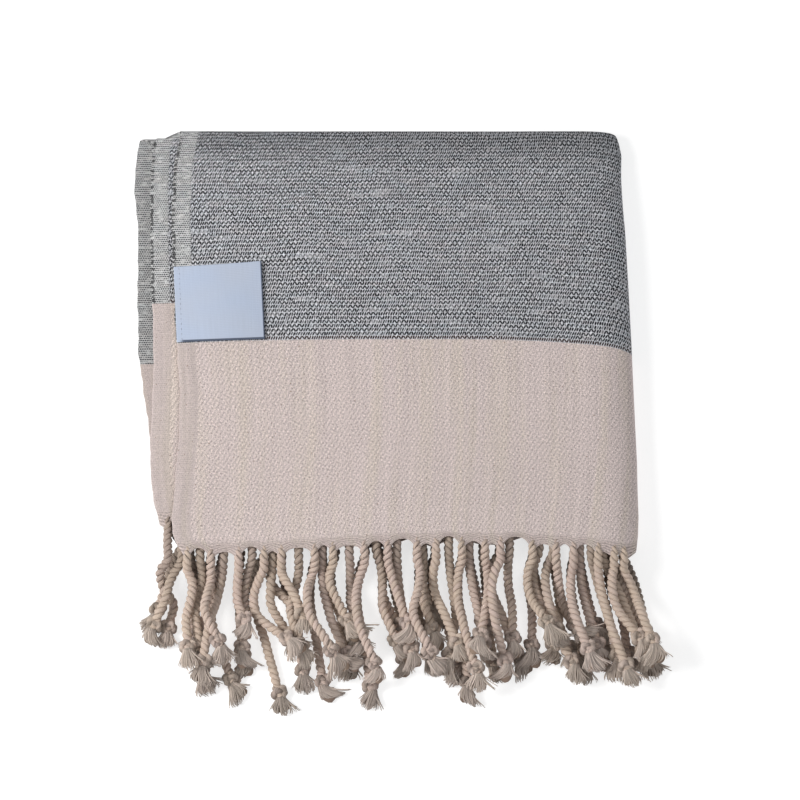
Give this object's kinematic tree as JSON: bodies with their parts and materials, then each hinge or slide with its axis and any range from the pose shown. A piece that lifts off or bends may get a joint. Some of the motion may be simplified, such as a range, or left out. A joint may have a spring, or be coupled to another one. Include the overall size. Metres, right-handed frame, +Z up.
{
  "type": "folded hammam towel",
  "caption": "Small woven hammam towel, folded flat, half grey twill and half cream, with knotted twisted fringes and a bare sewn label.",
  "frame": {"origin": "middle of the bounding box's underside, on the surface that the towel lies on", "axes": "+Z up, +Y from the fringed front to the folded back, +X to the right, where the fold across the width is"},
  "size_m": [0.2682, 0.315, 0.0246],
  "materials": {
    "grey_weave": "matt broken twill in near-black and off-white cotton",
    "cream_weave": "matt broken twill in undyed cream cotton",
    "twisted_strand": "matt two-ply twisted cotton",
    "label_satin": "soft satin ribbon"
  },
  "bodies": {
    "root": {"towel_cloth": "grey_weave", "fringe_layer_1": "twisted_strand", "fringe_layer_2": "twisted_strand", "fringe_layer_7": "twisted_strand", "fringe_layer_8": "twisted_strand", "sewn_label": "label_satin"}
  },
  "joints": []
}
